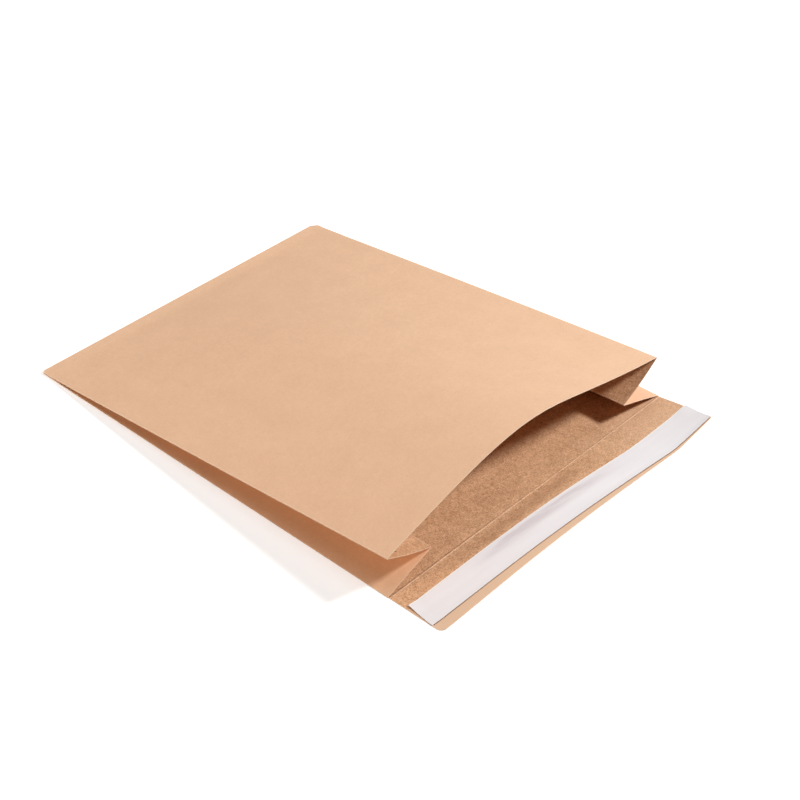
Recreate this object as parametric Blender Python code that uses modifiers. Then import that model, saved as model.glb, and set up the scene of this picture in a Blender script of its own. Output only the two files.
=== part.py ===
"""Gusseted kraft paper mailer, lying on its back with its mouth open and its flap out.

Metres, +Z up. The glued end faces +Y, the mouth and the flap face -Y, and the origin is on the
floor under the middle of the outline. One sheet of paper makes the bottom panel, two side gussets,
the top panel and the flap. The flap carries an adhesive strip under a release liner.
"""

import math

import bpy
import numpy as np

# The folded sheet
WIDTH = 0.320
LENGTH = 0.400
FLAP_LEFT = 0.0505
FLAP_RIGHT = 0.0535
GUSSET = 0.049
PAPER = 0.0003
FOLD_HOLLOW = 0.0001

# The open mouth: height of each top fold, how far it has moved in, and the arch of the top panel
MOUTH_LEFT = 0.0355
MOUTH_RIGHT = 0.0400
INSET_LEFT = 0.0014
INSET_RIGHT = 0.0041
ARCH_LEFT = 0.1937
ARCH_RIGHT = 0.1561
RISE_LEFT = math.radians(14.9)
RISE_RIGHT = math.radians(7.7)

# The glued end
SEAL = 0.012
TAB = 0.026
TAB_TAPER = 0.008
TAB_EASE = 0.020
BLUNT_LEFT = 0.003
BLUNT_RIGHT = 0.007
BLUNT_SLANT = 0.8
OVERLAP = 0.00002

# The flap: its score, its rounded corners, its wave and the corner that has curled up
SCORE_WIDTH = 0.0012
SCORE_RISE = 0.00015
CORNER_LEFT = 0.005
CORNER_RIGHT = 0.0015
WAVE = 0.0046
WAVE_CENTRE = -0.022
WAVE_SPREAD = 0.128
WAVE_START = 0.004
WAVE_REACH = 0.020
CURL = 0.0077
CURL_WIDTH = 0.047
CURL_EASE = 0.30
CURL_CROWN = 0.5

# The strip and its liner, which lie a little askew on the flap
STRIP_WIDTH = 0.0248
LIP_LEFT = 0.0095
LIP_RIGHT = 0.0011
STRIP_INSET_LEFT = 0.0030
STRIP_INSET_RIGHT = 0.0012
ADHESIVE_MARGIN = 0.0015
ADHESIVE = 0.00015
LINER = 0.00015
GAP = 0.0003
MERGE = 0.001

# Mesh fineness
ARC_STEPS = 6
HALF_STEPS = 2
ARCH_STEPS = 40
BOTTOM_STEPS = 28
LENGTH_STEPS = 11
FLAP_STEPS = 8
STRIP_STEPS = 5
CORNER_TURNS = (18, 36, 54, 72, 84, 90)

FOLD = PAPER / 2 + FOLD_HOLLOW
HALF = WIDTH / 2
SPAN = WIDTH - INSET_LEFT - INSET_RIGHT
CREASE = HALF - FOLD - PAPER / 2
Y_CLOSED = (LENGTH + FLAP_RIGHT) / 2
Y_MOUTH = Y_CLOSED - LENGTH
STACK = 6 * FOLD
NOSE = (PAPER + STACK + PAPER) / 2 - OVERLAP
TAB_LIFT = PAPER - OVERLAP


def smooth(t):
    """A step from 0 to 1 with level ends."""
    t = min(max(t, 0.0), 1.0)
    return t * t * (3 - 2 * t)


def turned(v):
    return np.array((-v[1], v[0]))


def crossing(start, end, side):
    """Normal of the straight that crosses from one fold's circle to the next one's."""
    along = (end - start) / np.linalg.norm(end - start)
    share = 2 * FOLD / np.linalg.norm(end - start)
    return side * share * along - math.sqrt(1 - share * share) * turned(along)


def arc(centre, first, last):
    """Points of a fold, from one angle to another."""
    angles = np.linspace(first, last, ARC_STEPS + 1)
    return [centre + FOLD * np.array((math.cos(a), math.sin(a))) for a in angles]


def between(first, last, steps):
    """Points strictly between two others."""
    return [first + (last - first) * i / steps for i in range(1, steps)]


def side_path(base, top, inset, slope):
    """One side from the bottom panel to the top panel: fold, half gusset, fold, half gusset, fold."""
    low = np.array((CREASE, base + FOLD))
    high = np.array((CREASE - inset, top - FOLD))
    half = (high - low) / 2
    depth = math.sqrt(GUSSET * GUSSET - half @ half)
    middle = low + half + depth * turned(half) / np.linalg.norm(half)
    out = crossing(low, middle, 1)
    back = crossing(middle, high, -1)
    angle_out = math.atan2(out[1], out[0])
    angle_back = math.atan2(back[1], back[0])
    lower = arc(low, -math.pi / 2, angle_out)
    inner = arc(middle, angle_out - math.pi, angle_back - math.pi)
    upper = arc(high, angle_back, math.pi / 2 - slope)
    lower += between(lower[-1], inner[0], HALF_STEPS)
    inner += between(inner[-1], upper[0], HALF_STEPS)
    return lower + inner + upper


def section(base, share):
    """The closed outline of the envelope across its width, as (x, z), at a share of its opening."""
    top_left = base + STACK + share * (MOUTH_LEFT - STACK)
    top_right = base + STACK + share * (MOUTH_RIGHT - STACK)
    rise_left = math.atan(share * math.tan(RISE_LEFT))
    rise_right = math.atan(share * math.tan(RISE_RIGHT))
    right = side_path(base, top_right, INSET_RIGHT * share**2, rise_right)
    left = side_path(base, top_left, INSET_LEFT * share**2, rise_left)
    left = [np.array((-p[0], p[1])) for p in reversed(left)]
    start, end = right[-1], left[0]
    spread = np.linalg.norm(end - start) / SPAN
    aim_right = np.array((-math.cos(RISE_RIGHT), share * math.sin(RISE_RIGHT)))
    aim_left = np.array((math.cos(RISE_LEFT), share * math.sin(RISE_LEFT)))
    pull_right = ARCH_RIGHT * spread * aim_right
    pull_left = ARCH_LEFT * spread * aim_left
    top = []
    for i in range(1, ARCH_STEPS):
        t = i / ARCH_STEPS
        blend = (1 - t) ** 2 * (1 + 2 * t) * start + t**2 * (3 - 2 * t) * end
        top.append(blend + 3 * t * (1 - t) ** 2 * pull_right + 3 * t**2 * (1 - t) * pull_left)
    bottom = between(left[-1], right[0], BOTTOM_STEPS)
    return left[-1:] + bottom + right + top + left[:-1]


def base_height(distance):
    """Height of the bottom panel, which rests on the tab folded under the glued end."""
    return PAPER / 2 + TAB_LIFT * (1 - smooth((distance - TAB) / TAB_EASE))


def tube_rows():
    """Rows of points from the glued end to the mouth."""
    mouth = section(PAPER / 2, 1.0)
    drops = [LENGTH - math.sqrt(LENGTH**2 - p[1] ** 2) for p in mouth]
    near = [NOSE + PAPER / 2, SEAL / 2, SEAL, (SEAL + TAB) / 2, TAB, TAB + TAB_EASE / 2]
    far = list(np.linspace(TAB + TAB_EASE, LENGTH, LENGTH_STEPS + 1))
    rows = []
    for distance in near + far:
        share = max(distance - SEAL, 0.0) / (LENGTH - SEAL)
        points = section(base_height(distance), share)
        rows.append([(p[0], Y_CLOSED - distance + share * d, p[1]) for p, d in zip(points, drops)])
    return rows


def flap_length(x):
    return FLAP_LEFT + (FLAP_RIGHT - FLAP_LEFT) * (x + HALF) / WIDTH


def wave_lift(x, past):
    """How far the long wave has lifted the flap, at a distance past the mouth."""
    reach = min(abs(x - WAVE_CENTRE) / WAVE_SPREAD, 1.0)
    return WAVE * math.cos(reach * math.pi / 2) * smooth((past - WAVE_START) / WAVE_REACH)


def curl_lift(x, past):
    """How far the corner beyond its slanting hinge has lifted, at a distance past the mouth."""
    beyond = FLAP_RIGHT * (x - HALF) + CURL_WIDTH * past
    share = max(beyond, 0.0) / (FLAP_RIGHT * CURL_WIDTH)
    crown = 1 + CURL_CROWN * (1 - share)
    return CURL * (1 + CURL_EASE) * share**2 / (share + CURL_EASE) * crown


def flap_lift(x, y):
    """How far the flap has lifted off the floor."""
    past = max(Y_MOUTH - y, 0.0)
    return wave_lift(x, past) + curl_lift(x, past)


def corner_inset(share, length, radius):
    """How far a rounded corner has drawn the flap's side edge in."""
    past = max(share * length - (length - radius), 0.0)
    return radius - math.sqrt(max(radius**2 - past**2, 0.0))


def flap_rows():
    """Rows of points from just beyond the mouth to the flap's outer edge."""
    beyond = 1.5 * SCORE_WIDTH
    steps = [beyond - SCORE_WIDTH, beyond - SCORE_WIDTH / 2]
    steps += list(np.linspace(beyond, FLAP_LEFT - CORNER_LEFT, FLAP_STEPS + 1))
    steps += [FLAP_LEFT - CORNER_LEFT * (1 - math.sin(math.radians(a))) for a in CORNER_TURNS]
    shares = [step / FLAP_LEFT for step in steps]
    rows = []
    for i, share in enumerate(shares):
        left = -CREASE + corner_inset(share, FLAP_LEFT, CORNER_LEFT)
        right = CREASE - corner_inset(share, FLAP_RIGHT, CORNER_RIGHT)
        row = []
        for k in range(BOTTOM_STEPS + 1):
            x = left + (right - left) * k / BOTTOM_STEPS
            y = Y_MOUTH - share * flap_length(x)
            z = PAPER / 2 + flap_lift(x, y) + (SCORE_RISE if i == 1 else 0.0)
            row.append((x, y, z))
        rows.append(row)
    return rows


def object_from(name, points, faces):
    """A mesh object in a collection of its own name."""
    mesh = bpy.data.meshes.new(name)
    mesh.from_pydata(points, [], faces)
    mesh.update()
    obj = bpy.data.objects.new(name, mesh)
    group = bpy.data.collections.get(name) or bpy.data.collections.new(name)
    if group.name not in bpy.context.scene.collection.children:
        bpy.context.scene.collection.children.link(group)
    group.objects.link(obj)
    return obj


def paint(obj, colour, roughness):
    material = bpy.data.materials.new(obj.name + "_finish")
    material.use_nodes = True
    shader = material.node_tree.nodes["Principled BSDF"]
    shader.inputs["Base Color"].default_value = (*colour, 1.0)
    shader.inputs["Roughness"].default_value = roughness
    obj.data.materials.append(material)


def thicken(obj, thickness):
    solid = obj.modifiers.new("paper", "SOLIDIFY")
    solid.thickness = thickness
    solid.offset = 0.0
    solid.use_even_offset = True
    solid.use_rim = True


def round_off(obj):
    """Smooth shading that keeps the folds and cut edges sharp."""
    obj.data.shade_smooth()
    obj.data.set_sharp_from_angle(angle=math.radians(30))


def helper(obj):
    """Moves a cutter or a joined piece out of the render, into the helpers' collection."""
    group = bpy.data.collections.get("helpers") or bpy.data.collections.new("helpers")
    if group.name not in bpy.context.scene.collection.children:
        bpy.context.scene.collection.children.link(group)
        group.hide_render = True
    for owner in list(obj.users_collection):
        owner.objects.unlink(obj)
    group.objects.link(obj)
    obj.hide_render = True
    obj.display_type = "WIRE"
    return obj


def bake_scale(obj):
    """Writes the object's turn, place and scale into its mesh."""
    bpy.context.view_layer.update()
    obj.data.transform(obj.matrix_world)
    obj.matrix_world.identity()


def box(name, low, high):
    """A cube between two corners."""
    low, high = np.array(low), np.array(high)
    bpy.ops.mesh.primitive_cube_add(size=1.0, location=tuple((low + high) / 2))
    obj = bpy.context.active_object
    obj.name = name
    obj.scale = tuple(high - low)
    bake_scale(obj)
    return helper(obj)


def nose_bar():
    """The rounded edge of the glued end, where the sheet turns under."""
    bpy.ops.mesh.primitive_cylinder_add(
        vertices=24,
        radius=NOSE,
        depth=2 * HALF - 0.8 * PAPER,
        location=(0.0, Y_CLOSED - NOSE, NOSE),
        rotation=(0.0, math.pi / 2, 0.0),
    )
    obj = bpy.context.active_object
    obj.name = "nose_bar"
    bake_scale(obj)
    return helper(obj)


def prism(name, outline, low, high):
    """An upright prism over a plan outline."""
    count = len(outline)
    points = [(x, y, low) for x, y in outline] + [(x, y, high) for x, y in outline]
    faces = [tuple(range(count))[::-1], tuple(range(count, 2 * count))]
    faces += [(i, (i + 1) % count, count + (i + 1) % count, count + i) for i in range(count)]
    return helper(object_from(name, points, faces))


def combine(obj, other, operation):
    step = obj.modifiers.new(other.name, "BOOLEAN")
    step.operation = operation
    step.solver = "EXACT"
    step.object = other


def build_body():
    """The folded sheet: a loft of its sections, made solid, with the layers joined at the glued end."""
    rows = tube_rows()
    ring = len(rows[0])
    points = [p for row in rows for p in row]
    faces = []
    for r in range(len(rows) - 1):
        for i in range(ring):
            k = (i + 1) % ring
            faces.append((r * ring + i, (r + 1) * ring + i, (r + 1) * ring + k, r * ring + k))
    last = (len(rows) - 1) * ring
    for row in flap_rows():
        first = len(points)
        points += row
        for i in range(BOTTOM_STEPS):
            faces.append((last + i, first + i, first + i + 1, last + i + 1))
        last = first
    body = object_from("envelope_body", points, faces)
    round_off(body)
    thicken(body, PAPER)

    top = PAPER / 2 + TAB_LIFT
    side = HALF - PAPER / 2
    core = box("seal_core", (-side, Y_CLOSED - SEAL, top), (side, Y_CLOSED - NOSE, top + STACK))
    combine(body, core, "UNION")
    combine(body, nose_bar(), "UNION")
    edge = HALF - 2 * PAPER
    tab = [
        (-edge, Y_CLOSED - NOSE),
        (-edge + TAB_TAPER, Y_CLOSED - TAB),
        (edge - TAB_TAPER, Y_CLOSED - TAB),
        (edge, Y_CLOSED - NOSE),
    ]
    combine(body, prism("tab", tab, 0.0, PAPER), "UNION")
    for side, size in ((-1, BLUNT_LEFT), (1, BLUNT_RIGHT)):
        start = np.array((side * (HALF - size), Y_CLOSED))
        end = np.array((side * HALF, Y_CLOSED - BLUNT_SLANT * size))
        corner = np.array((side * (HALF + size), Y_CLOSED + size))
        cut = [start + (start - end) / 2, end + (end - start) / 2, corner]
        cut = cut if side > 0 else cut[::-1]
        name = "blunt_left" if side < 0 else "blunt_right"
        combine(body, prism(name, cut, -NOSE, 4 * NOSE), "DIFFERENCE")
    paint(body, (0.62, 0.42, 0.26), 0.85)


def strip_sheet(name, margin, above, thickness):
    """A thin sheet that follows the flap, with its lower face at a height above it."""
    left = -HALF + STRIP_INSET_LEFT + margin
    right = HALF - STRIP_INSET_RIGHT - margin
    columns = np.linspace(-CREASE, CREASE, BOTTOM_STEPS + 1)
    places = [left] + [x for x in columns if left + MERGE < x < right - MERGE] + [right]
    points = []
    for x in places:
        lip = LIP_LEFT + (LIP_RIGHT - LIP_LEFT) * (x + HALF) / WIDTH
        outer = Y_MOUTH - flap_length(x) + lip + margin
        inner = outer + STRIP_WIDTH - 2 * margin
        for k in range(STRIP_STEPS + 1):
            y = inner + (outer - inner) * k / STRIP_STEPS
            points.append((x, y, PAPER + flap_lift(x, y) + above + thickness / 2))
    faces = []
    for i in range(len(places) - 1):
        for k in range(STRIP_STEPS):
            a = (STRIP_STEPS + 1) * i + k
            faces.append((a, a + 1, a + STRIP_STEPS + 2, a + STRIP_STEPS + 1))
    sheet = object_from(name, points, faces)
    round_off(sheet)
    thicken(sheet, thickness)
    return sheet


def main():
    for obj in list(bpy.data.objects):
        bpy.data.objects.remove(obj, do_unlink=True)
    build_body()
    adhesive = strip_sheet("adhesive_strip", ADHESIVE_MARGIN, GAP, ADHESIVE)
    paint(adhesive, (0.86, 0.80, 0.68), 0.35)
    liner = strip_sheet("release_liner", 0.0, GAP + ADHESIVE + GAP, LINER)
    paint(liner, (0.90, 0.87, 0.87), 0.45)


main()
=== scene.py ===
"""Dressed model of a gusseted kraft paper mailer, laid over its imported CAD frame.

The mailer is folded from one flat blank, as the real one is: the blank is a grid that is cut to
outline, folded row by row, given its paper thickness and trimmed. The peel-off strip lies on the
flap. All lengths are in metres, in the CAD's own frame: +Z up, the glued end +Y, the mouth -Y.
"""

import logging
import math
from contextlib import contextmanager
from dataclasses import dataclass, field
from enum import Enum, IntEnum
from functools import cached_property
from typing import Callable, Iterator, Optional, Sequence

import bmesh
import bpy
import numpy as np
from mathutils import Matrix, Vector, noise

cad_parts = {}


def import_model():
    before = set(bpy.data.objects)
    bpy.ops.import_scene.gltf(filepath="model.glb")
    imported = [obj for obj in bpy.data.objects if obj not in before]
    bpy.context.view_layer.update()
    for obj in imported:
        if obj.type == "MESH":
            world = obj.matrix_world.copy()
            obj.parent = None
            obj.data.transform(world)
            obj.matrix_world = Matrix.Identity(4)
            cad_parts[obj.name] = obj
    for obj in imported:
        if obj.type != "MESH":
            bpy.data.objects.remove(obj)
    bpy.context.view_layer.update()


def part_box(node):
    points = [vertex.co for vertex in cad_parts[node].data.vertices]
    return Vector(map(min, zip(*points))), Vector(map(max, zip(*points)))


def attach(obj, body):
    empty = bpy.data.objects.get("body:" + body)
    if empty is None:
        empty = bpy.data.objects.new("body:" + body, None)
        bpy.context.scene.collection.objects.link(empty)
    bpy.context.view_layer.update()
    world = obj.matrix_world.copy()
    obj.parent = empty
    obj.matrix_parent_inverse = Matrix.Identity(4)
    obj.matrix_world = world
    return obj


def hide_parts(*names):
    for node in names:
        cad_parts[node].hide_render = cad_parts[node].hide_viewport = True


log = logging.getLogger("mailer")

Colour = tuple[float, float, float, float]
Place = tuple[float, float]
Socket = bpy.types.NodeSocket
Piece = bpy.types.Object
Array = np.ndarray

BODY = "root"
MM = 0.001
TINY = 1e-9
WHITE = (1.0, 1.0, 1.0, 1.0)
AMBER = (1.0, 0.72, 0.50)
EDGE_LINES = (0.3 * MM, 0.8 * MM, 1.6 * MM, 3.5 * MM)
FOLD_GAP = "fold_gap"
CUT_GAP = "cut_gap"
RIM_GAP = "rim_gap"
SCORE_GAP = "score_gap"
LIP = "lip"
SHEET_UV = "sheet"


class Face(IntEnum):
    """Material slots of the folded sheet."""

    OUTER = 0
    INNER = 1
    CUT = 2


class Side(Enum):
    """The two long sides of the mailer, as the sign of X."""

    LEFT = -1
    RIGHT = 1


def pair(left: object, right: object) -> object:
    """Declares a field with one value for each side."""
    return field(default_factory=lambda: {Side.LEFT: left, Side.RIGHT: right})


def linear(red: float, green: float, blue: float) -> Colour:
    """Converts a display colour to the scene's linear values.

    Args:
        red: Red from 0 to 255.
        green: Green from 0 to 255.
        blue: Blue from 0 to 255.

    Returns:
        The linear colour with an alpha of 1.
    """
    values = []
    for value in (red, green, blue):
        share = value / 255
        values.append(share / 12.92 if share <= 0.04045 else ((share + 0.055) / 1.055) ** 2.4)
    return (*values, 1.0)


def smooth(value: float) -> float:
    """Returns a step from 0 to 1 with level ends."""
    value = min(max(value, 0.0), 1.0)
    return value * value * (3 - 2 * value)


def ripple(x: float, y: float, across: float, along: float, seed: float) -> float:
    """Gives a gentle unevenness of the paper.

    Args:
        x: Place across the sheet.
        y: Place along the sheet.
        across: Size of the waves across the sheet.
        along: Size of the waves along the sheet.
        seed: Picks one pattern among many.

    Returns:
        A value between about -1 and 1.
    """
    return noise.noise(Vector((x / across, y / along, seed)))


def finer_at_ends(length: float, step: float) -> list[float]:
    """Divides a length into even steps with finer ones at both ends.

    Args:
        length: The length to divide.
        step: The even step.

    Returns:
        The places of all lines strictly between the ends.
    """
    inside = length - 2 * EDGE_LINES[-1]
    count = max(1, round(inside / step))
    middle = [EDGE_LINES[-1] + inside * i / count for i in range(1, count)]
    return list(EDGE_LINES) + middle + [length - edge for edge in reversed(EDGE_LINES)]


def direction(azimuth: float, elevation: float) -> Vector:
    """Returns the unit vector towards an azimuth from -Y and an elevation, in degrees."""
    around, up = math.radians(azimuth), math.radians(elevation)
    return Vector((math.sin(around) * math.cos(up), -math.cos(around) * math.cos(up), math.sin(up)))


def deselect_all() -> None:
    """Deselects every object, so that an operator reaches only what is picked next."""
    bpy.ops.object.select_all(action="DESELECT")


def pick(piece: Piece) -> None:
    """Makes one piece the only selected and the active one."""
    deselect_all()
    piece.select_set(True)
    bpy.context.view_layer.objects.active = piece


@contextmanager
def editing(piece: Piece) -> Iterator[None]:
    """Opens a piece for editing, with all its faces selected."""
    pick(piece)
    bpy.ops.object.mode_set(mode="EDIT")
    bpy.ops.mesh.select_mode(type="FACE")
    bpy.ops.mesh.select_all(action="SELECT")
    yield
    bpy.ops.object.mode_set(mode="OBJECT")


def flat_grid(name: str, columns: int, rows: int) -> Piece:
    """Adds a flat grid of vertices, one unit square, as the start of a sheet.

    Args:
        name: Name of the piece.
        columns: Vertices along X.
        rows: Vertices along Y.

    Returns:
        The grid's object.
    """
    deselect_all()
    bpy.ops.mesh.primitive_grid_add(x_subdivisions=columns - 1, y_subdivisions=rows - 1, size=1.0)
    piece = bpy.context.active_object
    piece.name = name
    piece.data.name = name
    return piece


def grid_places(piece: Piece, columns: int, rows: int) -> tuple[Array, Array]:
    """Finds the column and row of each vertex of a flat grid.

    Args:
        piece: The grid's object.
        columns: Vertices along X.
        rows: Vertices along Y.

    Returns:
        The column numbers and the row numbers, one per vertex.
    """
    points = np.empty(len(piece.data.vertices) * 3)
    piece.data.vertices.foreach_get("co", points)
    points = points.reshape(-1, 3)
    column = np.rint((points[:, 0] + 0.5) * (columns - 1)).astype(int)
    row = np.rint((points[:, 1] + 0.5) * (rows - 1)).astype(int)
    return column, row


def write_uv(piece: Piece, across: Array, along: Array) -> None:
    """Writes each vertex's place on the flat sheet, in metres, as the piece's UV map.

    Args:
        piece: The sheet's object.
        across: Place across the sheet, one per vertex.
        along: Place along the sheet, one per vertex.
    """
    mesh = piece.data
    corners = np.empty(len(mesh.loops), dtype=int)
    mesh.loops.foreach_get("vertex_index", corners)
    layer = mesh.uv_layers.active or mesh.uv_layers.new()
    layer.name = SHEET_UV
    places = np.stack((across[corners], along[corners]), axis=1)
    layer.data.foreach_set("uv", places.ravel())


def write_attribute(piece: Piece, name: str, values: Array) -> None:
    """Stores one number per vertex under a name that a finish reads."""
    layer = piece.data.attributes.new(name, "FLOAT", "POINT")
    layer.data.foreach_set("value", values.astype(np.float32))


def move_points(piece: Piece, points: Array) -> None:
    """Moves every vertex of a piece to its place."""
    piece.data.vertices.foreach_set("co", points.ravel())
    piece.data.update()


def thicken(piece: Piece, thickness: float, inner: int = 0, rim: int = 0) -> None:
    """Gives a sheet its thickness, half to each side.

    Args:
        piece: The sheet.
        thickness: Full thickness.
        inner: Steps from a face's material slot to that of its inner copy.
        rim: Steps from a face's material slot to that of the cut edge.
    """
    pick(piece)
    solid = piece.modifiers.new("thickness", "SOLIDIFY")
    solid.thickness = thickness
    solid.offset = 0.0
    solid.use_even_offset = True
    solid.use_rim = True
    solid.material_offset = inner
    solid.material_offset_rim = rim
    bpy.ops.object.modifier_apply(modifier=solid.name)


def flip_faces(piece: Piece) -> None:
    """Turns every face of a piece over."""
    with editing(piece):
        bpy.ops.mesh.flip_normals()


def smooth_shading(piece: Piece, degrees: float = 40.0) -> None:
    """Shades a piece smooth, with its cut edges kept sharp."""
    pick(piece)
    bpy.ops.object.shade_smooth_by_angle(angle=math.radians(degrees))


def settle(piece: Piece, slot: str, *nodes: str) -> None:
    """Ties a finished piece to the frame.

    Args:
        piece: The finished piece.
        slot: The record's material slot of the piece. Not used.
        nodes: The CAD nodes that it stands for.
    """
    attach(piece, BODY)
    if nodes:
        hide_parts(*nodes)
    log.info("%s: %d faces", piece.name, len(piece.data.polygons))


class Desk:
    """Lays out the nodes of one material, or of the world."""

    def __init__(self, owner: bpy.types.ID, shader: str = "Principled BSDF") -> None:
        """Opens the nodes of a material or world, and finds its shader."""
        owner.use_nodes = True
        self.owner = owner
        self.tree = owner.node_tree
        self.shader = self.tree.nodes[shader]

    def node(self, kind: str, inputs: Optional[dict] = None, **settings: object) -> bpy.types.Node:
        """Adds a node.

        Args:
            kind: Its type.
            inputs: What its inputs get, by name or number.
            **settings: Its options.

        Returns:
            The node.
        """
        made = self.tree.nodes.new(kind)
        for key, value in settings.items():
            setattr(made, key, value)
        self.feed(made, inputs or {})
        return made

    def feed(self, node: bpy.types.Node, inputs: dict) -> None:
        """Links inputs of a node to other sockets, or sets them to plain values.

        Args:
            node: The node.
            inputs: What its inputs get, by name or number.
        """
        for key, value in inputs.items():
            if isinstance(value, Socket):
                self.tree.links.new(value, node.inputs[key])
            else:
                node.inputs[key].default_value = value

    @cached_property
    def place(self) -> Socket:
        """The place on the flat sheet, in metres."""
        return self.node("ShaderNodeUVMap", uv_map=SHEET_UV).outputs["UV"]

    def across(self) -> Socket:
        """Returns how far across the sheet the place is."""
        return self.node("ShaderNodeSeparateXYZ", {"Vector": self.place}).outputs["X"]

    def seen(self) -> Socket:
        """Returns 1 where the camera looks straight at the surface, and 0 for all other light."""
        return self.node("ShaderNodeLightPath").outputs["Is Camera Ray"]

    def attribute(self, name: str) -> Socket:
        """Returns a number stored on the mesh."""
        return self.node("ShaderNodeAttribute", attribute_name=name).outputs["Fac"]

    def turned(self, degrees: float, size: Place) -> Socket:
        """Turns the place and divides it by a size along each direction.

        Args:
            degrees: Turn in the sheet's plane.
            size: Length and width that become one unit.

        Returns:
            The changed place.
        """
        inputs = {"Vector": self.place, "Angle": math.radians(degrees)}
        turn = self.node("ShaderNodeVectorRotate", inputs, rotation_type="Z_AXIS")
        inputs = {0: turn.outputs["Vector"], 1: (1 / size[0], 1 / size[1], 0.0)}
        return self.node("ShaderNodeVectorMath", inputs, operation="MULTIPLY").outputs["Vector"]

    def noise(self, place: Socket, scale: float, detail: float, roughness: float = 0.5) -> Socket:
        """Adds a cloud pattern.

        Args:
            place: Where the pattern is read.
            scale: How many waves there are in one unit.
            detail: How many finer layers there are.
            roughness: How strong the finer layers are.

        Returns:
            The pattern's value, about 0.5 on average.
        """
        inputs = {"Vector": place, "Scale": scale, "Detail": detail, "Roughness": roughness}
        return self.node("ShaderNodeTexNoise", inputs, noise_dimensions="2D").outputs["Fac"]

    def math(self, operation: str, first: object, second: object = 0.0) -> Socket:
        """Adds one step of arithmetic and returns its result."""
        return self.node("ShaderNodeMath", {0: first, 1: second}, operation=operation).outputs["Value"]

    def product(self, *factors: object) -> Socket:
        """Multiplies two or more values."""
        result = factors[0]
        for factor in factors[1:]:
            result = self.math("MULTIPLY", result, factor)
        return result

    def ramp(self, value: object, low: float, high: float, start: float = 0.0, end: float = 1.0) -> Socket:
        """Maps a value smoothly from one range to another.

        Args:
            value: The value.
            low: Where the result starts to change.
            high: Where it stops.
            start: Result at low.
            end: Result at high.

        Returns:
            The mapped value.
        """
        inputs = {"Value": value, "From Min": low, "From Max": high, "To Min": start, "To Max": end}
        return self.node("ShaderNodeMapRange", inputs, interpolation_type="SMOOTHSTEP").outputs["Result"]

    def mix(self, share: object, first: object, second: object) -> Socket:
        """Mixes two colours and returns the result."""
        return self.node("ShaderNodeMix", {0: share, 6: first, 7: second}, data_type="RGBA").outputs[2]

    def total(self, terms: Sequence[tuple[Socket, float]], start: float = 0.0) -> Socket:
        """Adds up patterns about their average of 0.5.

        Args:
            terms: Each pattern with its strength.
            start: The value where every pattern is at its average.

        Returns:
            The sum.
        """
        result: object = start
        for value, strength in terms:
            centred = self.math("SUBTRACT", value, 0.5)
            result = self.math("ADD", self.product(centred, strength), result)
        return result

    def surface(self, colour: object, roughness: float, specular: float) -> None:
        """Sets the shader's colour, roughness and strength of reflection."""
        inputs = {"Base Color": colour, "Roughness": roughness, "Specular IOR Level": specular}
        self.feed(self.shader, inputs)

    def bump(self, height: Socket, depth: float) -> None:
        """Gives the shader a fine relief of a depth in metres."""
        relief = self.node("ShaderNodeBump", {"Height": height, "Distance": depth, "Strength": 1.0})
        self.feed(self.shader, {"Normal": relief.outputs["Normal"]})


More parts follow.
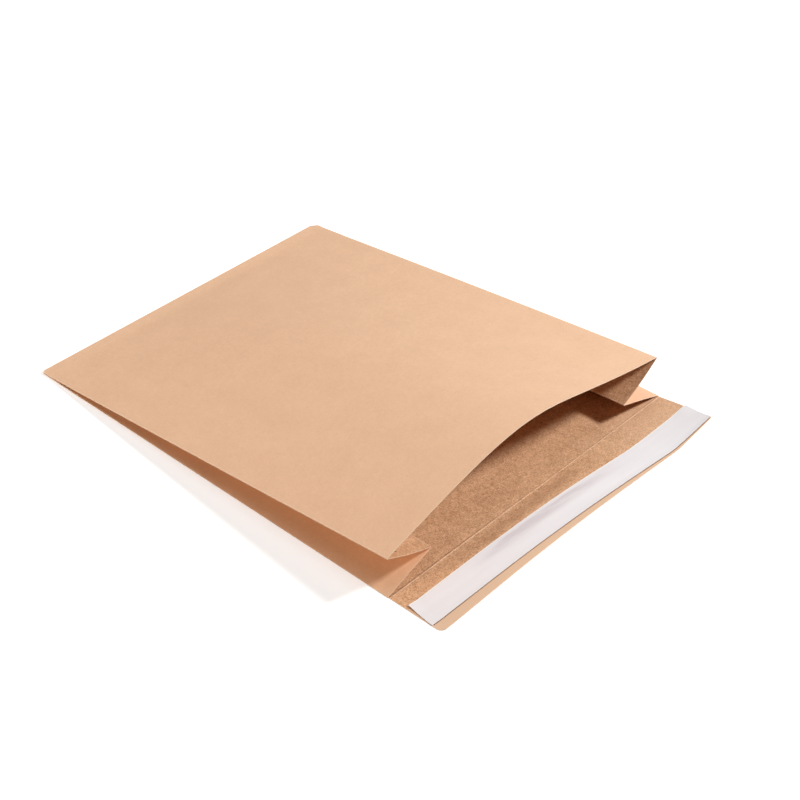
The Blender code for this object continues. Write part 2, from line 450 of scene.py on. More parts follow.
@dataclass(frozen=True)
class KraftFinish:
    """Uncoated kraft paper: cloudy pulp, fine grain, fibres, and paler folds and cut edges, partly scuffed
    and partly a painted highlight.
    """

    name: str
    shade: Colour
    tint: Colour
    # Pale tone of scuffed paper and of the painted highlight on folds, cut edges and the score's ridge.
    worn_and_highlit: Colour
    cloud: float
    patch: float
    grain: float
    fibre: float
    fleck: float
    depth: float
    roughness: float
    specular: float
    lip: Optional[Colour] = None
    # Tone of the fibres pressed flat beside the score, and of the painted shade there.
    dark: Optional[Colour] = None
    bark: Optional[Colour] = None
    speck_at: Optional[Place] = None

    def make(self) -> bpy.types.Material:
        """Returns the finished material."""
        desk = Desk(bpy.data.materials.new(self.name))
        cloud = desk.noise(desk.place, 38.0, 3.0)
        patch = desk.noise(desk.place, 170.0, 3.0, 0.6)
        grain = desk.noise(desk.place, 900.0, 3.0, 0.6)
        lying = [desk.turned(angle, (4.2 * MM, 0.5 * MM)) for angle in (12, 68, 131)]
        fibres = [desk.noise(turned, 1.0, 2.0) for turned in lying]
        terms = [(cloud, self.cloud), (patch, self.patch), (grain, self.grain)]
        terms += [(fibre, self.fibre) for fibre in fibres]
        tone = desk.total(terms, 0.5)
        colour = desk.mix(tone, self.shade, self.tint)
        colour = desk.mix(self.flecks(desk), colour, self.shade)
        # Paler tone on the lip beyond the liner and on the far side near the mouth.
        if self.lip is not None:
            beyond = desk.ramp(desk.attribute(LIP), 0.0, 1.0)
            colour = desk.mix(beyond, colour, self.lip)
        if self.speck_at is not None:
            # Fibres pressed flat beside the score, darkened further as painted shade.
            colour = desk.mix(self.crushed_and_shaded(desk), colour, self.dark)
            colour = desk.mix(self.speck(desk), colour, self.bark)
        # Paler folds, cut edges and score ridge: partly scuffed paper, partly a painted highlight.
        colour = desk.mix(self.wear_and_highlight(desk), colour, self.worn_and_highlit)
        desk.surface(colour, self.roughness, self.specular)
        desk.bump(desk.total([(grain, 1.0), (fibres[0], 0.5), (fibres[1], 0.5), (patch, 0.4)]), self.depth)
        return desk.owner

    def flecks(self, desk: Desk) -> Socket:
        """Marks the few darker flecks of bark in the pulp.

        Args:
            desk: The material's nodes.

        Returns:
            The share of the dark tone.
        """
        inputs = {"Vector": desk.place, "Scale": 160.0}
        dots = desk.node("ShaderNodeTexVoronoi", inputs, voronoi_dimensions="2D")
        near = desk.ramp(dots.outputs["Distance"], 0.05, 0.09, 1.0, 0.0)
        return desk.product(near, self.fleck)

    def wear_and_highlight(self, desk: Desk) -> Socket:
        """Marks the folds and cut edges, where the paper is scuffed paler and a highlight is painted, and
        the score's ridge, where a highlight is painted.

        Args:
            desk: The material's nodes.

        Returns:
            The share of the pale tone, partly scuffed paper and partly painted highlight.
        """
        patchy = desk.ramp(desk.noise(desk.place, 260.0, 3.0), 0.3, 0.65, 0.45, 1.0)
        # Folds and cut edges: scuffed paler paper, with a painted highlight along them.
        fold = desk.ramp(desk.attribute(FOLD_GAP), 0.3 * MM, 1.1 * MM, 0.8, 0.0)
        cut = desk.ramp(desk.attribute(CUT_GAP), 0.2 * MM, 0.8 * MM, 0.7, 0.0)
        edge = desk.math("MAXIMUM", fold, cut)
        # The score's ridge: a painted highlight on its raised bead.
        if self.dark is not None:
            off = desk.math("ABSOLUTE", desk.attribute(SCORE_GAP))
            fading = desk.ramp(desk.across(), 120 * MM, 300 * MM, 0.42, 0.18)
            crest_highlight = desk.product(desk.ramp(off, 0.15 * MM, 0.55 * MM, 1.0, 0.0), fading)
            edge = desk.math("MAXIMUM", edge, crest_highlight)
        return desk.product(edge, patchy)

    def crushed_and_shaded(self, desk: Desk) -> Socket:
        """Marks the fibres pressed flat on the mouth's side of the score, darkened further as painted
        shade, mostly in its left third.

        Args:
            desk: The material's nodes.

        Returns:
            The share of the dark tone.
        """
        off = desk.math("ABSOLUTE", desk.math("ADD", desk.attribute(SCORE_GAP), 1.0 * MM))
        near = desk.ramp(desk.across(), 70 * MM, 150 * MM, 0.62, 0.12)
        patchy = desk.ramp(desk.noise(desk.place, 120.0, 3.0), 0.35, 0.6, 0.35, 1.0)
        return desk.product(desk.ramp(off, 0.15 * MM, 0.65 * MM, 1.0, 0.0), near, patchy)

    def speck(self, desk: Desk) -> Socket:
        """Marks one dark speck in the pulp, just inside the mouth."""
        inputs = {0: desk.place, 1: (*self.speck_at, 0.0)}
        reach = desk.node("ShaderNodeVectorMath", inputs, operation="DISTANCE")
        return desk.ramp(reach.outputs["Value"], 0.5 * MM, 1.1 * MM, 0.9, 0.0)


@dataclass(frozen=True)
class PlainPaperFinish:
    """Paper with a soft sheen and hardly any grain: the liner, the tape and the cut edges."""

    name: str
    shade: Colour
    tint: Colour
    roughness: float
    specular: float
    streak: float
    depth: float
    # Colour of a painted highlight along the inner edge.
    rim: Optional[Colour] = None
    grey_patch: Optional[Colour] = None

    def make(self) -> bpy.types.Material:
        """Returns the finished material."""
        desk = Desk(bpy.data.materials.new(self.name))
        streaks = desk.noise(desk.turned(4, (90 * MM, 9 * MM)), 1.0, 2.0)
        grain = desk.noise(desk.place, 1500.0, 2.0)
        tone = desk.total([(streaks, self.streak), (grain, 0.1)], 0.5)
        colour = desk.mix(tone, self.shade, self.tint)
        # A long darker grey patch on the liner.
        if self.grey_patch is not None:
            colour = desk.mix(self.grey_patch_share(desk), colour, self.grey_patch)
        # Painted highlight along the liner's inner edge.
        if self.rim is not None:
            edge = desk.ramp(desk.attribute(RIM_GAP), 0.35 * MM, 0.9 * MM, 0.9, 0.0)
            colour = desk.mix(edge, colour, self.rim)
        desk.surface(colour, self.roughness, self.specular)
        desk.bump(desk.total([(grain, 0.3), (streaks, 1.0)]), self.depth)
        return desk.owner

    def grey_patch_share(self, desk: Desk) -> Socket:
        """Marks a long darker grey patch on the liner, a few millimetres in from its inner edge.

        Args:
            desk: The material's nodes. A place on the strip is measured from the mailer's middle.

        Returns:
            The share of the grey tone.
        """
        blotch = desk.noise(desk.turned(3, (38 * MM, 7 * MM)), 1.0, 3.0, 0.6)
        along = desk.across()
        start = desk.ramp(along, -105 * MM, -60 * MM)
        end = desk.ramp(along, 5 * MM, 75 * MM, 1.0, 0.12)
        over = desk.math("ADD", desk.attribute(RIM_GAP), desk.product(blotch, 4 * MM))
        upper = desk.ramp(over, 3.5 * MM, 6.5 * MM)
        lower = desk.ramp(over, 9.5 * MM, 15.0 * MM, 1.0, 0.0)
        return desk.product(start, end, upper, lower, desk.ramp(blotch, 0.32, 0.62, 0.45, 1.0))


OUTER_KRAFT = KraftFinish(
    name="kraft_outer",
    shade=linear(231, 187, 152),
    tint=linear(254, 213, 178),
    # Pale tone of the folds and cut edges: scuffed paper and painted highlight.
    worn_and_highlit=linear(255, 228, 202),
    cloud=0.34,
    patch=0.30,
    grain=0.60,
    fibre=0.38,
    fleck=0.14,
    depth=0.03 * MM,
    roughness=0.62,
    specular=0.3,
)
INNER_KRAFT = KraftFinish(
    name="kraft_inner",
    shade=linear(173, 121, 82),
    tint=linear(250, 205, 163),
    # Pale tone of the folds and cut edges: scuffed paper and painted highlight.
    worn_and_highlit=linear(250, 212, 180),
    cloud=0.35,
    patch=0.50,
    grain=1.20,
    fibre=0.80,
    fleck=0.40,
    depth=0.05 * MM,
    roughness=0.62,
    specular=0.4,
    lip=linear(228, 192, 160),
    # Fibres pressed flat beside the score, with painted shade.
    dark=linear(120, 74, 48),
    bark=linear(92, 62, 48),
    speck_at=(755.8 * MM, 392.5 * MM),
)
CUT_PAPER = PlainPaperFinish(
    name="kraft_cut",
    shade=linear(226, 190, 158),
    tint=linear(246, 216, 188),
    roughness=0.95,
    specular=0.1,
    streak=0.4,
    depth=0.01 * MM,
)
LINER_PAPER = PlainPaperFinish(
    name="liner_paper",
    shade=linear(230, 226, 228),
    tint=linear(250, 248, 250),
    roughness=0.42,
    specular=0.45,
    streak=0.45,
    depth=0.05 * MM,
    # Painted highlight along the inner edge.
    rim=linear(255, 252, 244),
    grey_patch=linear(221, 213, 216),
)
# The tape's brown edge, showing past the liner's outer edge, is a painted shadow of the gap under the
# liner.
TAPE_PAINTED_SHADOW = PlainPaperFinish(
    name="tape",
    shade=linear(150, 112, 86),
    tint=linear(176, 136, 106),
    roughness=0.3,
    specular=0.5,
    streak=0.3,
    depth=0.01 * MM,
)


@dataclass
class FoldedSheet:
    """The kraft sheet: its blank, its folds, its thickness and its trimmed corners."""

    half_width: float
    closed_y: float
    length: float = 400.0 * MM
    paper: float = 0.30 * MM
    pitch: float = 0.49 * MM
    gusset: float = 49.0 * MM
    seal: float = 12.0 * MM
    tab: float = 26.0 * MM
    tab_taper: float = 8.0 * MM
    tab_ease: float = 20.0 * MM
    flap: dict[Side, float] = pair(50.9 * MM, 53.7 * MM)
    mouth: dict[Side, float] = pair(35.5 * MM, 40.0 * MM)
    inset: dict[Side, float] = pair(1.4 * MM, 4.1 * MM)
    handle: dict[Side, float] = pair(193.7 * MM, 156.1 * MM)
    rise: dict[Side, float] = pair(14.9, 7.7)
    corner: dict[Side, float] = pair(5.0 * MM, 1.5 * MM)
    blunt: dict[Side, float] = pair(3.0 * MM, 7.0 * MM)
    blunt_slant: float = 0.8
    wave: float = 4.4 * MM
    wave_centre: float = -22.0 * MM
    wave_spread: float = 128.0 * MM
    wave_right: float = 84.0 * MM
    wave_fan: float = 0.85
    wave_fade: float = 0.17
    wave_start: float = 3.0 * MM
    wave_reach: float = 17.0 * MM
    curl: float = 8.2 * MM
    curl_start: float = 88.0 * MM
    curl_slant: float = 0.48
    curl_power: float = 1.1
    tip_move: dict[Side, Place] = pair((1.0 * MM, 1.5 * MM), (-0.2 * MM, 1.5 * MM))
    gusset_bow: float = 0.9 * MM
    drawn_in: float = 2.3 * MM
    score_width: float = 1.3 * MM
    score_rise: float = 0.42 * MM
    lip_start: float = 38.0 * MM
    lip_slant: float = 9.0 * MM
    far_paling: float = 0.42

    def __post_init__(self) -> None:
        """Works out what follows from the driving sizes."""
        self.mouth_y = self.closed_y - self.length
        self.fold = self.pitch / 2
        self.crease = self.half_width - self.fold - self.paper / 2
        self.nose = (2 * self.paper + 3 * self.pitch + 0.01 * MM) / 2
        self.panel = 2 * self.crease
        self.wide_steps = finer_at_ends(self.panel, 5.0 * MM)
        self.half_steps = finer_at_ends(self.gusset, 6.0 * MM)
        self.turns = 6
        self.wide_count = len(self.wide_steps)
        self.side_count = 3 * (self.turns + 1) + 2 * len(self.half_steps)
        self.flap_columns = self.wide_count + 2
        self.top_columns = (self.wide_count + self.side_count, 2 * self.wide_count + self.side_count + 2)
        self.score_at = self.length + 0.8 * self.score_width
        self.mouth_points = self.cross_section(self.length)
        heights = self.mouth_points[:, 1]
        self.drops = self.length - np.sqrt(self.length**2 - heights**2)

    def crossing(self, start: Array, end: Array, side: int) -> Array:
        """Finds the straight that crosses from one fold's circle to the next one's.

        Args:
            start: Centre of the first fold.
            end: Centre of the second fold.
            side: 1 where the first fold turns left, -1 where it turns right.

        Returns:
            The straight's normal.
        """
        reach = float(np.linalg.norm(end - start))
        along = (end - start) / reach
        share = 2 * self.fold / reach
        return side * share * along - math.sqrt(1 - share * share) * np.array((-along[1], along[0]))

    def arc(self, centre: Array, first: float, last: float) -> list[Array]:
        """Lists the points round a fold from one angle to another."""
        angles = np.linspace(first, last, self.turns + 1)
        return [centre + self.fold * np.array((math.cos(a), math.sin(a))) for a in angles]

    def half_panel(self, start: Array, end: Array, bow: float) -> list[Array]:
        """Lists the points strictly inside half a gusset.

        Args:
            start: First end.
            end: Other end.
            bow: How far its middle stands off the straight line.

        Returns:
            The points in order.
        """
        line = end - start
        normal = np.array((-line[1], line[0])) / np.linalg.norm(line)
        points = []
        for step in self.half_steps:
            share = step / self.gusset
            points.append(start + line * share + normal * bow * math.sin(math.pi * share))
        return points

    def side_path(self, side: Side, base: float, share: float) -> list[Array]:
        """Lists one side's points: fold, half gusset, fold, half gusset, fold.

        Args:
            side: Which side it is. The points are for the right one, and the left is mirrored later.
            base: Height of the bottom panel.
            share: How far the mailer is open there, from 0 to 1.

        Returns:
            The points from the bottom panel up to the top panel.
        """
        stack = 3 * self.pitch
        top = base + stack + share * (self.mouth[side] - stack)
        low = np.array((self.crease, base + self.fold))
        high = np.array((self.crease - self.inset[side] * share**2, top - self.fold))
        half = (high - low) / 2
        depth = math.sqrt(self.gusset**2 - half @ half)
        middle = low + half + depth * np.array((-half[1], half[0])) / np.linalg.norm(half)
        late = share**1.5
        middle = middle + np.array(self.tip_move[side]) * late
        out = self.crossing(low, middle, 1)
        back = self.crossing(middle, high, -1)
        angle_out = math.atan2(out[1], out[0])
        angle_back = math.atan2(back[1], back[0])
        slope = math.atan(share * math.tan(math.radians(self.rise[side])))
        lower = self.arc(low, -math.pi / 2, angle_out)
        inner = self.arc(middle, angle_out - math.pi, angle_back - math.pi)
        upper = self.arc(high, angle_back, math.pi / 2 - slope)
        bow = self.gusset_bow * late
        lower += self.half_panel(lower[-1], inner[0], -0.5 * bow)
        inner += self.half_panel(inner[-1], upper[0], -bow)
        return lower + inner + upper

    def arch(self, start: Array, end: Array, share: float) -> list[Array]:
        """Lists the top panel's points, which arch up between the two top folds.

        Args:
            start: The right top fold.
            end: The left top fold.
            share: How far the mailer is open there.

        Returns:
            The points strictly between the folds, from right to left.
        """
        span = 2 * self.half_width - sum(self.inset.values())
        spread = float(np.linalg.norm(end - start)) / span
        aims = {}
        for side in Side:
            angle = math.radians(self.rise[side])
            aim = np.array((-side.value * math.cos(angle), share * math.sin(angle)))
            aims[side] = self.handle[side] * spread * aim
        points = []
        for step in self.wide_steps:
            t = step / self.panel
            base = (1 - t) ** 2 * (1 + 2 * t) * start + t * t * (3 - 2 * t) * end
            pull = 3 * t * (1 - t) ** 2 * aims[Side.RIGHT] + 3 * t * t * (1 - t) * aims[Side.LEFT]
            points.append(base + pull)
        return points

    def base_height(self, distance: float) -> float:
        """Returns the height of the bottom panel, which lies on the tab near the glued end."""
        lift = self.paper + 0.01 * MM
        return self.paper / 2 + lift * (1 - smooth((distance - self.tab) / self.tab_ease))

    def openness(self, distance: float) -> float:
        """Returns how far the mailer is open at a distance from its glued end."""
        return max(distance - self.seal, 0.0) / (self.length - self.seal)

    def cross_section(self, distance: float) -> Array:
        """Works out the sheet's outline across the mailer.

        Args:
            distance: Distance from the glued end.

        Returns:
            The points (x, z), from the left bottom fold round to the same fold.
        """
        share = self.openness(distance)
        base = self.base_height(distance)
        right = self.side_path(Side.RIGHT, base, share)
        left = [np.array((-p[0], p[1])) for p in reversed(self.side_path(Side.LEFT, base, share))]
        bottom = [left[-1] + (right[0] - left[-1]) * step / self.panel for step in self.wide_steps]
        top = self.arch(right[-1], left[0], share)
        return np.array([left[-1]] + bottom + right + top + left)

    def fold_columns(self) -> list[int]:
        """Lists the columns at the middle of each fold."""
        right = 1 + self.wide_count
        left = right + self.side_count + self.wide_count
        apart = self.turns + 1 + len(self.half_steps)
        return [start + self.turns // 2 + k * apart for start in (right, left) for k in range(3)]

    def row_places(self) -> Array:
        """Lists each row's distance from the glued end, which is below zero on the tab."""
        under = [self.tab_end() + step for step in (0.0, 0.3 * MM, 1.0 * MM, 3.0 * MM)]
        under += list(np.linspace(self.tab_end() + 7 * MM, -math.pi * self.bend(), 6))
        nose = [-math.pi * self.bend() * k / 10 for k in range(9, 0, -1)]
        tube = [0.0] + finer_at_ends(self.length - self.nose, 4.5 * MM)
        tube = [self.nose + step for step in tube] + [self.length]
        score = [self.length + self.score_width * (0.2 + 0.12 * k) for k in range(1, 11)]
        flap_end = self.flap[Side.LEFT]
        flap = list(np.linspace(4.0 * MM, flap_end - self.corner[Side.LEFT], 14))
        turns = [math.sin(math.radians(angle)) for angle in (12, 24, 36, 48, 60, 70, 78, 84, 87.5, 90)]
        flap += [flap_end - self.corner[Side.LEFT] * (1 - turn) for turn in turns]
        return np.array(under + nose + tube + score + [self.length + step for step in flap])

    def bend(self) -> float:
        """Returns the radius of the turn at the glued end, at the middle of the paper."""
        return self.nose - self.paper / 2

    def tab_end(self) -> float:
        """Returns the row at which the tab ends."""
        return -(math.pi * self.bend() + self.tab - self.nose)

    def flap_length(self, x: float) -> float:
        """Returns the length of the flap at a place across it."""
        share = (x + self.half_width) / (2 * self.half_width)
        return self.flap[Side.LEFT] + (self.flap[Side.RIGHT] - self.flap[Side.LEFT]) * share

    def flap_height(self, x: float, y: float) -> float:
        """Works out the height of the flap's middle surface.

        Args:
            x: Place across.
            y: Place along.

        Returns:
            The height above the floor.
        """
        past = max(self.mouth_y - y, 0.0)
        return self.paper / 2 + self.wave_lift(x, past) + self.curl_lift(x, past)

    def wave_lift(self, x: float, past: float) -> float:
        """Works out how far the flap's long wave has lifted it.

        Args:
            x: Place across.
            past: Distance past the mouth.

        Returns:
            The height.
        """
        spread = self.wave_spread if x < self.wave_centre else self.wave_right + self.wave_fan * past
        reach = min(abs(x - self.wave_centre) / spread, 1.0)
        crown = 1 + self.wave_fade * (1 - past / self.flap[Side.LEFT])
        uneven = 0.3 * MM * (0.5 + 0.5 * ripple(x, past, 45 * MM, 60 * MM, 3.1))
        lift = self.wave * crown * math.cos(reach * math.pi / 2) + uneven
        return lift * smooth((past - self.wave_start) / self.wave_reach)

    def curl_lift(self, x: float, past: float) -> float:
        """Works out how far the flap's far end, beyond a slanting bend, has lifted.

        Args:
            x: Place across.
            past: Distance past the mouth.

        Returns:
            The height.
        """
        bend = self.curl_start + self.curl_slant * past
        share = max(x - bend, 0.0) / (self.half_width - bend)
        return self.curl * past / self.flap[Side.RIGHT] * share**self.curl_power

    def corner_inset(self, share: float, side: Side) -> float:
        """Returns how far a rounded flap corner has drawn the side edge in."""
        radius = self.corner[side]
        over = max(share * self.flap[side] - (self.flap[side] - radius), 0.0)
        return radius - math.sqrt(max(radius**2 - over**2, 0.0))

    def flap_row(self, row: float) -> Array:
        """Works out one row of the flap.

        Args:
            row: Distance from the glued end, past the length.

        Returns:
            The points of the flap's columns.
        """
        share = (row - self.length) / self.flap[Side.LEFT]
        left = -self.crease + self.corner_inset(share, Side.LEFT)
        right = self.crease - self.corner_inset(share, Side.RIGHT) - self.drawn_in * share
        offset = (row - self.score_at) / (self.score_width / 2)
        bead = math.cos(offset * math.pi / 2) ** 2 if abs(offset) < 1 else 0.0
        points = []
        for step in [0.0] + self.wide_steps + [self.panel]:
            x = left + (right - left) * step / self.panel
            y = self.mouth_y - share * self.flap_length(x)
            uneven = 0.75 + 0.5 * ripple(x, 0.0, 12 * MM, 1.0, 7.7)
            points.append((x, y, self.flap_height(x, y) + self.score_rise * bead * uneven))
        return np.array(points)

    def under_row(self, row: float, points: Array) -> Array:
        """Works out one row of the top panel where it turns under the glued end.

        Args:
            row: Distance from the glued end, below zero.
            points: The first row of the tube, from which the turn starts.

        Returns:
            The points of the top panel's columns.
        """
        first, last = self.top_columns
        start = points[first:last].copy()
        turn = min(-row / self.bend(), math.pi)
        flat = max(-row - math.pi * self.bend(), 0.0)
        reach = self.tab - self.nose
        narrow = 1 - (self.tab_taper * flat / reach + 2 * self.paper * min(flat / MM, 1.0)) / self.crease
        start[:, 0] *= narrow
        start[:, 1] = self.closed_y - self.nose + self.bend() * math.sin(turn) - flat
        start[:, 2] = self.nose + self.bend() * math.cos(turn)
        return start

    def tube_row(self, distance: float) -> Array:
        """Works out one row of the tube.

        Args:
            distance: Distance from the glued end.

        Returns:
            The points of all columns.
        """
        share = self.openness(distance)
        flat = self.cross_section(distance)
        points = np.empty((len(flat), 3))
        points[:, 0] = flat[:, 0]
        points[:, 1] = self.closed_y - distance + share * self.drops
        points[:, 2] = flat[:, 1]
        first, last = self.top_columns
        for k in range(first + 1, last - 1):
            x, y = points[k, 0], points[k, 1]
            inward = smooth((self.crease - abs(x)) / (30 * MM))
            wave = 0.16 * ripple(x, y, 95 * MM, 120 * MM, 0.4) + 0.05 * ripple(x, y, 30 * MM, 38 * MM, 5.2)
            points[k, 2] += MM * wave * inward * smooth(4 * share)
        return points

    def column_places(self) -> Array:
        """Returns each column's place across the flat blank."""
        steps = np.linalg.norm(np.diff(self.mouth_points, axis=0), axis=1)
        return np.concatenate(([0.0], np.cumsum(steps)))

    def make(self, finishes: Sequence[KraftFinish | PlainPaperFinish]) -> Piece:
        """Builds the folded sheet.

        Args:
            finishes: The finishes of the outer face, the inner face and the cut edges.

        Returns:
            The finished piece.
        """
        across, along = self.column_places(), self.row_places()
        piece = flat_grid("mailer_sheet", len(across), len(along))
        for finish in finishes:
            piece.data.materials.append(finish.make())
        column, row = self.cut_blank(piece, len(across), along)
        write_uv(piece, across[column], along[row])
        self.store_gaps(piece, column, along[row], across)
        points = self.fold_rows(along, len(across))
        move_points(piece, points[row, column])
        self.close_seam(piece)
        thicken(piece, self.paper, Face.INNER, Face.CUT)
        self.trim_corners(piece)
        smooth_shading(piece)
        return piece

    def cut_blank(self, piece: Piece, columns: int, along: Array) -> tuple[Array, Array]:
        """Cuts the blank to its outline: only the top panel has a tab, and only the bottom one a flap.

        Args:
            piece: The flat grid.
            columns: Number of columns.
            along: Distance of each row from the glued end.

        Returns:
            The columns and rows of the vertices that are left.
        """
        column, row = grid_places(piece, columns, len(along))
        distance = along[row]
        first, last = self.top_columns
        keep = (distance >= self.nose - TINY) & (distance <= self.length + TINY)
        keep |= (distance < self.nose + TINY) & (column >= first) & (column < last)
        keep |= (distance > self.length - TINY) & (column < self.flap_columns)
        blank = bmesh.new()
        blank.from_mesh(piece.data)
        waste = [face for face in blank.faces if not all(keep[point.index] for point in face.verts)]
        bmesh.ops.delete(blank, geom=waste, context="FACES")
        blank.to_mesh(piece.data)
        blank.free()
        return grid_places(piece, columns, len(along))

    def store_gaps(self, piece: Piece, column: Array, place: Array, across: Array) -> None:
        """Stores how far each vertex is from a fold, a cut edge and the score, and where it is paler.

        Args:
            piece: The blank.
            column: Column of each vertex.
            place: Distance of each vertex from the glued end.
            across: Place of each column across the blank.
        """
        folds = across[self.fold_columns()]
        folds = np.concatenate((folds, folds - across[-1], folds + across[-1]))
        gaps = np.abs(across[:, None] - folds[None, :])
        write_attribute(piece, FOLD_GAP, gaps.min(axis=1)[column])
        width = across[self.flap_columns - 1]
        side = np.minimum(across[column], width - across[column])
        on_bottom = column < self.flap_columns
        before = np.maximum(self.length - place, 0.0)
        flap_end = self.length + self.flap[Side.LEFT] - place
        on_flap = np.minimum(np.hypot(np.maximum(side, 0.0), before), flap_end)
        cut = np.where(on_bottom, on_flap, before)
        cut = np.minimum(cut, place - self.tab_end())
        write_attribute(piece, CUT_GAP, cut)
        share = across[column] / width
        past = place - self.length
        lip = np.clip((past - self.lip_start - self.lip_slant * share) / (2.0 * MM), 0.0, 1.0)
        # Paler on the far side, from just inside the mouth to the flap's end.
        far = np.clip((share - 0.62) / 0.3, 0.0, 1.0)
        far_paling = self.far_paling * far * np.clip((past + 25.0 * MM) / (20.0 * MM), 0.0, 1.0)
        write_attribute(piece, LIP, np.where(on_bottom, np.maximum(lip, far_paling), 0.0))
        write_attribute(piece, SCORE_GAP, np.where(on_bottom, place - self.score_at, self.length))

    def fold_rows(self, along: Array, columns: int) -> Array:
        """Works out where every vertex of the blank goes.

        Args:
            along: Distance of each row from the glued end.
            columns: Number of columns.

        Returns:
            The points by row and column.
        """
        points = np.zeros((len(along), columns, 3))
        start = self.tube_row(self.nose)
        first, last = self.top_columns
        for k, row in enumerate(along.tolist()):
            if row < self.nose - TINY:
                points[k, first:last] = self.under_row(row, start)
            elif row <= self.length + TINY:
                points[k] = self.tube_row(row)
            else:
                points[k, : self.flap_columns] = self.flap_row(row)
        return points

    def close_seam(self, piece: Piece) -> None:
        """Joins the first and last columns and turns the faces outwards."""
        with editing(piece):
            bpy.ops.mesh.remove_doubles(threshold=1e-6)
        high = [face for face in piece.data.polygons if face.center.z > self.mouth[Side.RIGHT]]
        if sum(face.normal.z for face in high) < 0:
            flip_faces(piece)

    def trim_corners(self, piece: Piece) -> None:
        """Trims the two corners of the glued end, which are blunt."""
        for side in Side:
            place = Vector((side.value * (self.half_width - self.blunt[side]), self.closed_y, 0.0))
            normal = Vector((side.value * self.blunt_slant, 1.0, 0.0)).normalized()
            with editing(piece):
                bpy.ops.mesh.bisect(plane_co=place, plane_no=normal, use_fill=True, clear_outer=True)
            for face in piece.data.polygons:
                beside = (face.center - place).dot(normal)
                if abs(beside) < 0.05 * MM and face.normal.dot(normal) > 0.98:
                    face.material_index = Face.CUT


@dataclass
class PeelStrip:
    """The adhesive strip on the flap and the liner that covers it."""

    sheet: FoldedSheet
    tape_thick: float = 0.10 * MM
    liner_thick: float = 0.10 * MM
    near_inner: Place = (-156.5 * MM, 16.3 * MM)
    near_outer: Place = (-159.6 * MM, 41.9 * MM)
    far_inner: Place = (158.2 * MM, 27.0 * MM)
    far_outer: Place = (157.2 * MM, 52.6 * MM)
    tape_margin: float = 1.6 * MM
    # How far the tape shows past the liner's outer edge, as a painted shadow line.
    tape_proud: float = 0.45 * MM

    def spot(self, along: float, over: float, margin: float, proud: float) -> Place:
        """Finds a place on the strip.

        Args:
            along: From 0 at the left end to 1 at the right end.
            over: From 0 at the inner edge to 1 at the outer edge.
            margin: How far the sheet stops short of the liner's ends and inner edge.
            proud: How far the sheet reaches past the liner's outer edge.

        Returns:
            The place (x, y).
        """
        inner = np.array(self.near_inner) * (1 - along) + np.array(self.far_inner) * along
        outer = np.array(self.near_outer) * (1 - along) + np.array(self.far_outer) * along
        place = inner * (1 - over) + outer * over
        x = place[0] + margin * (1 - 2 * along)
        below = place[1] + margin * (1 - over) + proud * over
        return x, self.sheet.mouth_y - below

    def lay(
        self,
        name: str,
        finish: PlainPaperFinish,
        thickness: float,
        clear: float,
        margin: float = 0.0,
        proud: float = 0.0,
        lift: Callable[[float, float], float] = lambda along, over: 0.0,
    ) -> Piece:
        """Lays a thin sheet along the flap.

        Args:
            name: Name of the piece.
            finish: Its finish.
            thickness: Its thickness.
            clear: Height of its lower face above the flap's upper face.
            margin: How far it stops short of the liner's ends and inner edge.
            proud: How far it reaches past the liner's outer edge.
            lift: Extra height by the two shares of its length and width.

        Returns:
            The finished piece.
        """
        columns, rows = 161, 17
        above = clear + thickness / 2
        piece = flat_grid(name, columns, rows)
        column, row = grid_places(piece, columns, rows)
        points = np.empty((len(column), 3))
        for k, (i, j) in enumerate(zip(column, row)):
            along = i / (columns - 1)
            over = j / (rows - 1)
            x, y = self.spot(along, over, margin, proud)
            height = self.sheet.flap_height(x, y) + self.sheet.paper / 2 + above
            points[k] = (x, y, height + lift(along, over))
        write_uv(piece, points[:, 0], points[:, 1])
        wide = self.near_outer[1] - self.near_inner[1]
        write_attribute(piece, RIM_GAP, row / (rows - 1) * wide)
        move_points(piece, points)
        if piece.data.polygons[0].normal.z < 0:
            flip_faces(piece)
        thicken(piece, thickness)
        smooth_shading(piece)
        piece.data.materials.append(finish.make())
        return piece

    def liner_lift(self, along: float, over: float) -> float:
        """Returns how far the liner stands off the tape: at its ends, and in long low wrinkles."""
        near_corner = smooth(1 - along / 0.035) * smooth(1 - over / 0.5) * 0.8 * MM
        far_corner = smooth((along - 0.93) / 0.07) * smooth(1 - over / 0.6) * 1.2 * MM
        outer_edge = smooth((over - 0.8) / 0.2) * 0.35 * MM
        wrinkle = 0.5 + 0.5 * ripple(along * 3.2, over * 1.6, 1.0, 1.0, 2.2)
        return near_corner + far_corner + outer_edge + 0.10 * MM * wrinkle

    def make_tape(self) -> Piece:
        """Builds the adhesive strip."""
        # The tape's edge past the liner is a painted shadow line.
        edges = (self.tape_margin, self.tape_proud)
        return self.lay("adhesive_tape", TAPE_PAINTED_SHADOW, self.tape_thick, 0.03 * MM, *edges)

    def make_liner(self) -> Piece:
        """Builds the release liner."""
        clear = self.tape_thick + 0.06 * MM
        return self.lay("liner", LINER_PAPER, self.liner_thick, clear, lift=self.liner_lift)


@dataclass(frozen=True)
class Lamp:
    """One round soft lamp that looks at the mailer.

    Its share is the part of full white that it gives a level surface at the origin.
    """

    name: str
    azimuth: float
    elevation: float
    distance: float
    size: float
    share: float
    colour: tuple[float, float, float] = (1.0, 1.0, 1.0)

    def hang(self) -> None:
        """Puts the lamp in its place."""
        lamp = bpy.data.lights.new(self.name, "AREA")
        lamp.shape = "DISK"
        lamp.size = self.size
        lamp.color = self.colour
        lamp.energy = self.share * (math.pi * self.distance) ** 2 / math.sin(math.radians(self.elevation))
        thing = bpy.data.objects.new(self.name, lamp)
        bpy.context.scene.collection.objects.link(thing)
        toward = direction(self.azimuth, self.elevation)
        thing.location = toward * self.distance
        thing.rotation_euler = toward.to_track_quat("Z", "Y").to_euler()


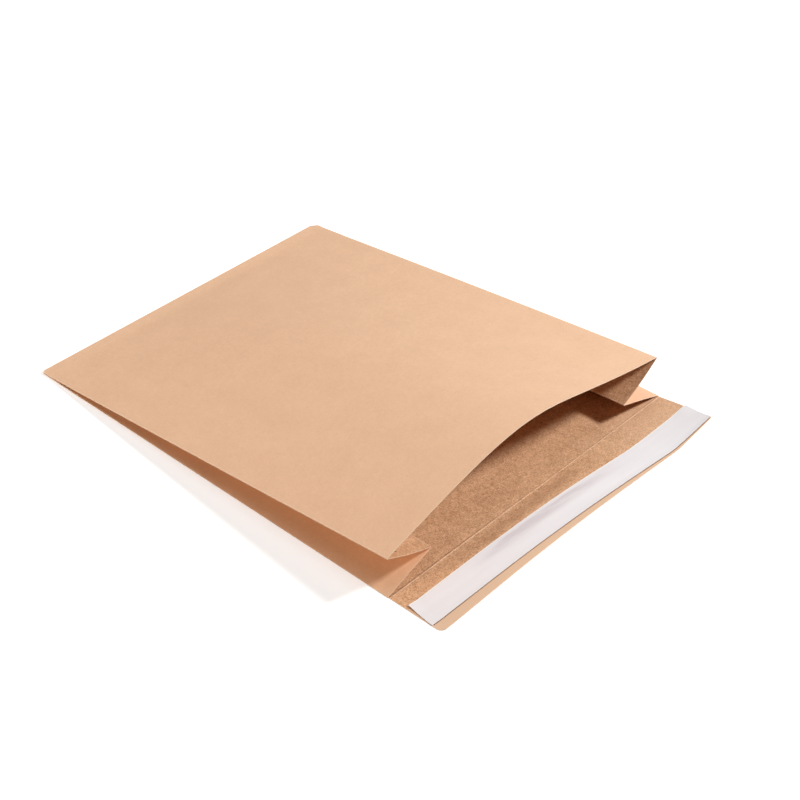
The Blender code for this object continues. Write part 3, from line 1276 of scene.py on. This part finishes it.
@dataclass
class Studio:
    """The pale floor, the soft lights and the camera at the photograph's view."""

    eye: tuple[float, float, float] = (-0.77388, -0.77663, 0.82918)
    azimuth: float = -46.209
    elevation: float = 37.208
    roll: float = -0.9395
    lens: float = 75.64
    floor_size: float = 12.0
    fill: float = 0.06
    lamps: tuple[Lamp, ...] = (
        Lamp("key", azimuth=49.0, elevation=39.0, distance=2.4, size=0.44, share=0.565),
        Lamp("overhead", azimuth=180.0, elevation=80.0, distance=2.4, size=2.0, share=0.31),
        Lamp("side_left", azimuth=-106.0, elevation=16.0, distance=1.8, size=0.9, share=0.09, colour=AMBER),
    )

    def floor(self) -> Piece:
        """Lays the pale floor."""
        deselect_all()
        bpy.ops.mesh.primitive_plane_add(size=self.floor_size, location=(0.0, 0.0, -0.02 * MM))
        floor = bpy.context.active_object
        floor.name = "floor"
        desk = Desk(bpy.data.materials.new("floor_white"))
        desk.surface((0.86, 0.86, 0.86, 1.0), 0.95, 0.0)
        place = desk.node("ShaderNodeTexCoord").outputs["Object"]
        reach = desk.node("ShaderNodeVectorMath", {0: place}, operation="LENGTH").outputs["Value"]
        strength = desk.product(desk.seen(), desk.ramp(reach, 0.5, 2.0, 0.50, 1.0))
        glow = desk.node("ShaderNodeEmission", {"Color": WHITE, "Strength": strength}).outputs["Emission"]
        both = desk.node("ShaderNodeAddShader", {0: desk.shader.outputs["BSDF"], 1: glow})
        desk.feed(desk.tree.nodes["Material Output"], {"Surface": both.outputs["Shader"]})
        floor.data.materials.append(desk.owner)
        return floor

    def lights(self) -> None:
        """Sets the world's even light and hangs the lamps."""
        world = bpy.data.worlds.new("studio")
        bpy.context.scene.world = world
        desk = Desk(world, "Background")
        desk.feed(desk.shader, {"Color": WHITE, "Strength": desk.math("MAXIMUM", desk.seen(), self.fill)})
        for lamp in self.lamps:
            lamp.hang()

    def camera(self) -> None:
        """Places the camera where the photograph was taken from."""
        lean = math.radians(self.roll)
        back = direction(self.azimuth, self.elevation)
        level = (-back).cross(Vector((0.0, 0.0, 1.0))).normalized()
        over = level.cross(-back)
        right = level * math.cos(lean) + over * math.sin(lean)
        top = over * math.cos(lean) - level * math.sin(lean)
        lens = bpy.data.cameras.new("camera")
        lens.lens = self.lens
        lens.sensor_width = 36.0
        lens.clip_end = 50.0
        camera = bpy.data.objects.new("camera", lens)
        bpy.context.scene.collection.objects.link(camera)
        turn = Matrix((right, top, back)).transposed().to_4x4()
        camera.matrix_world = Matrix.Translation(Vector(self.eye)) @ turn
        bpy.context.scene.camera = camera

    def build(self) -> None:
        """Sets up the whole studio."""
        self.camera()
        self.lights()
        self.floor()
        settings = bpy.context.scene.view_settings
        settings.view_transform = "Standard"


def main() -> None:
    """Builds the mailer on its frame, piece by piece."""
    logging.basicConfig(level=logging.INFO, format="%(name)s %(message)s")
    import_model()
    low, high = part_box("envelope_body")
    Studio().build()

    sheet = FoldedSheet(half_width=(high[0] - low[0]) / 2, closed_y=high[1])
    mailer = sheet.make((OUTER_KRAFT, INNER_KRAFT, CUT_PAPER))
    settle(mailer, "kraft_paper", "envelope_body")

    strip = PeelStrip(sheet)
    settle(strip.make_tape(), "adhesive", "adhesive_strip")
    settle(strip.make_liner(), "liner_paper", "release_liner")


if __name__ == "__main__":
    main()
